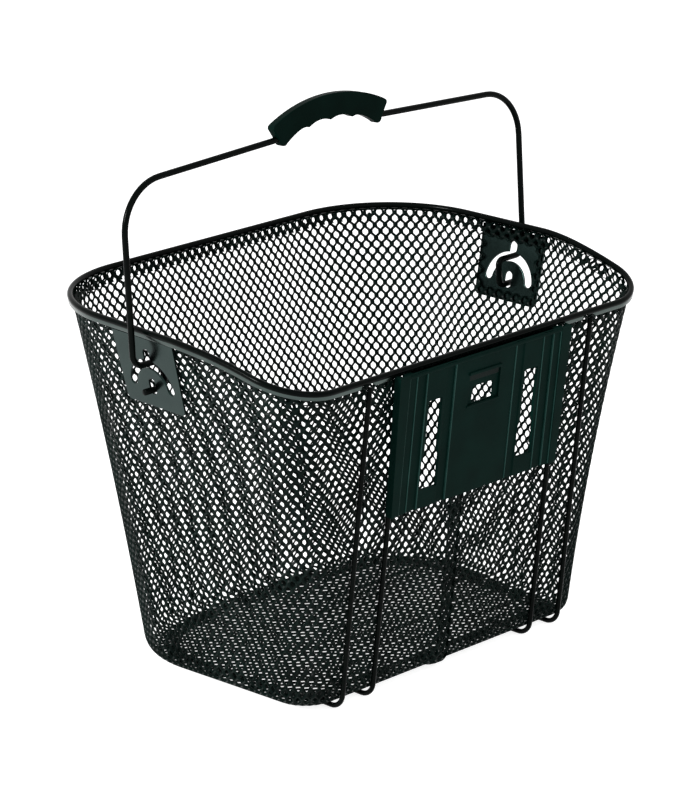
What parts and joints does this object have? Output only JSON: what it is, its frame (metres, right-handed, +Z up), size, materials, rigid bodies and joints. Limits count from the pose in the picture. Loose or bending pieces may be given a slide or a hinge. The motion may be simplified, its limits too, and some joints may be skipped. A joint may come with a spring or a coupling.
{
  "type": "handlebar basket",
  "caption": "Black coated expanded-steel handlebar basket with a rolled rim, a moulded receiver plate on its rear wall and a folding wire bail with a finger-grooved grip.",
  "frame": {"origin": "on the floor under the centre of the bounding box, at the height of the bent feet of the support wires", "axes": "+X across the basket's width, -Y out of the rear wall that carries the receiver plate (towards the handlebar), +Y forward, +Z up"},
  "size_m": [0.3684, 0.2593, 0.3697],
  "materials": {
    "coated_expanded_steel": "satin black coating",
    "coated_wire": "semi-gloss black coating",
    "coated_pivot_steel": "satin dark grey coating",
    "moulded_plastic": "fine-grained black moulding"
  },
  "bodies": {
    "basket": {"mesh_wall": "coated_expanded_steel", "mesh_base": "coated_expanded_steel", "rim_strip": "coated_wire", "support_wire_left_outer": "coated_wire", "support_wire_left_inner": "coated_wire", "support_wire_right_inner": "coated_wire", "support_wire_right_outer": "coated_wire", "receiver_plate": "moulded_plastic", "pivot_plate_left": "coated_pivot_steel", "pivot_plate_right": "coated_pivot_steel"},
    "bail": {"bail_wire": "coated_wire", "grip": "moulded_plastic"}
  },
  "joints": [
    {"name": "bail_swing", "type": "hinge", "parent": "basket", "child": "bail", "pos_m": [0, 0.0054, 0.2078], "axis": [1, 0, 0], "range_deg": [-76, 83]}
  ]
}
